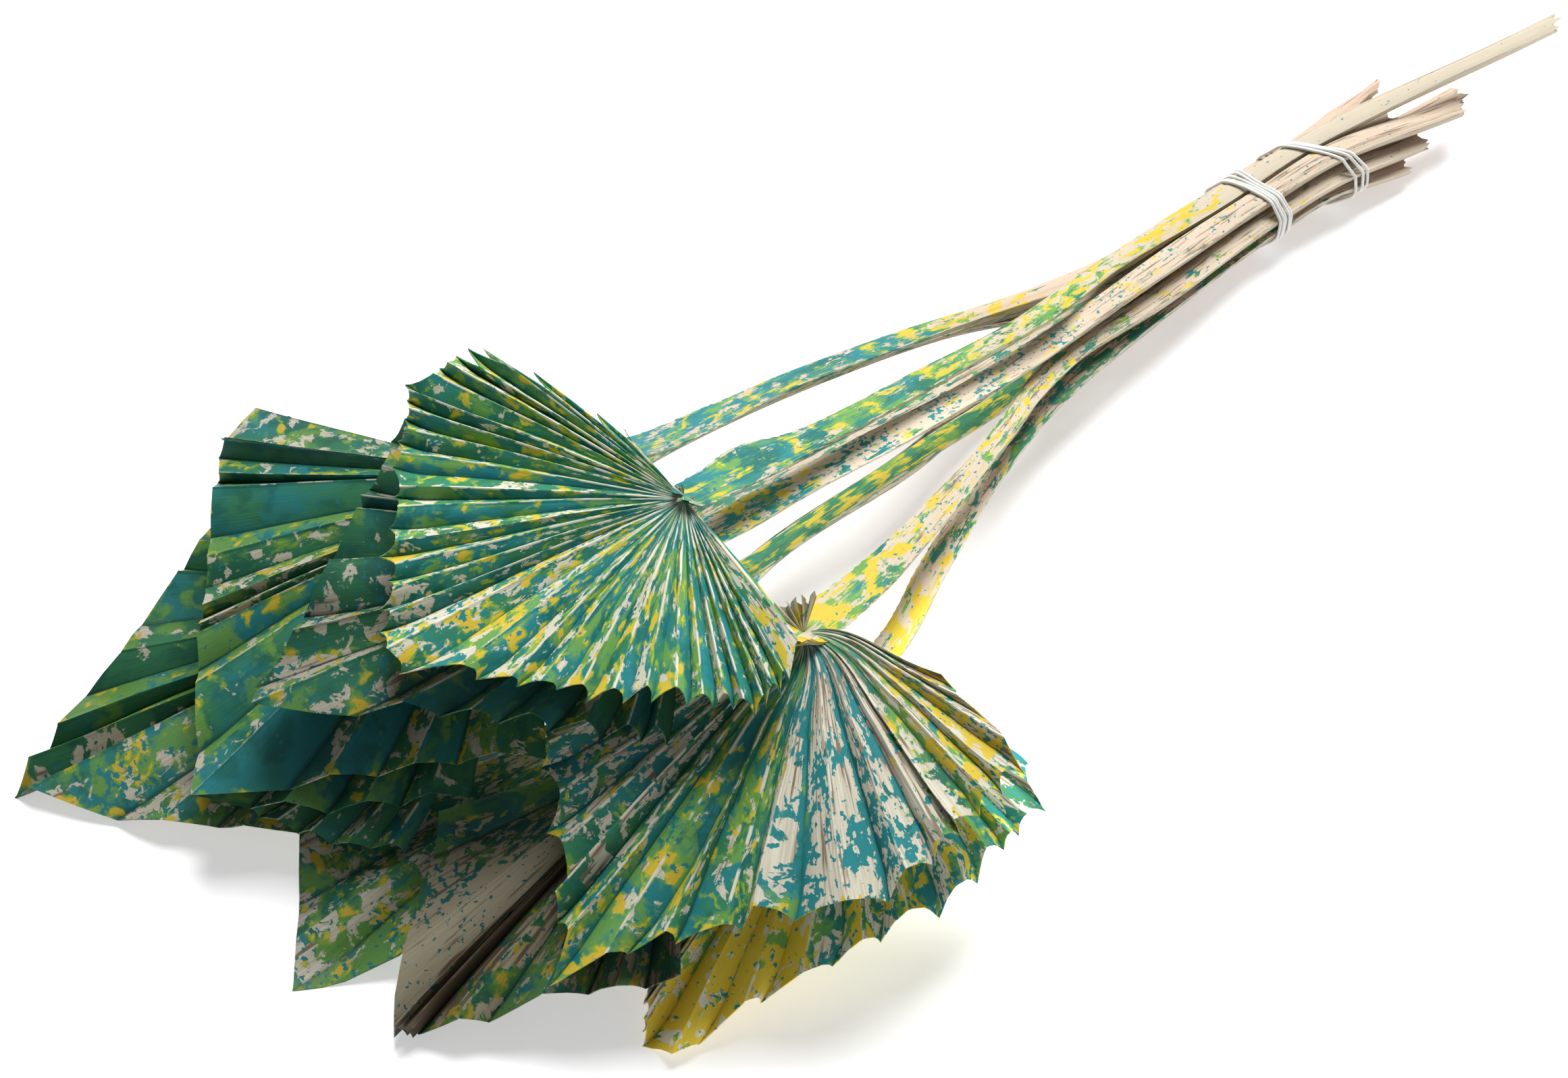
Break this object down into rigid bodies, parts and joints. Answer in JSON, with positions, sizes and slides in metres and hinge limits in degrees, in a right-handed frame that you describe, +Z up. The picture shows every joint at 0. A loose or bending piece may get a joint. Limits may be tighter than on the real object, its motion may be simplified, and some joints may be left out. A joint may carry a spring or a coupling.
{
  "type": "bunch of dried fan palm leaves",
  "caption": "Bunch of dried, dyed fan palm leaves with pleated, spade-trimmed blades on flat stems, bound near their cut ends by elastic bands and lying on a table.",
  "frame": {"origin": "middle of the bunch's box, on the surface that it lies on", "axes": "+X runs along the bunch from the fans to the cut ends, +Y is its far side, +Z is up as it lies"},
  "size_m": [0.4849, 0.2165, 0.083],
  "materials": {
    "leaf_teal": "dried leaf dyed teal green in blotches, satin, finely ribbed",
    "leaf_speckled": "cream dried leaf with fine teal dye specks, satin",
    "leaf_yellow": "dried leaf dyed yellow and green in blotches, satin",
    "leaf_green": "dried leaf dyed dark green in blotches, satin",
    "elastic": "white elastic cord, matt"
  },
  "bodies": {
    "root": {"leaf_a": "leaf_teal", "leaf_b": "leaf_teal", "leaf_c": "leaf_teal", "leaf_d": "leaf_teal", "leaf_e": "leaf_speckled", "leaf_f": "leaf_yellow", "leaf_g": "leaf_speckled", "leaf_h": "leaf_speckled", "leaf_i": "leaf_green", "leaf_j": "leaf_green", "band_lower": "elastic", "band_upper": "elastic"}
  },
  "joints": []
}
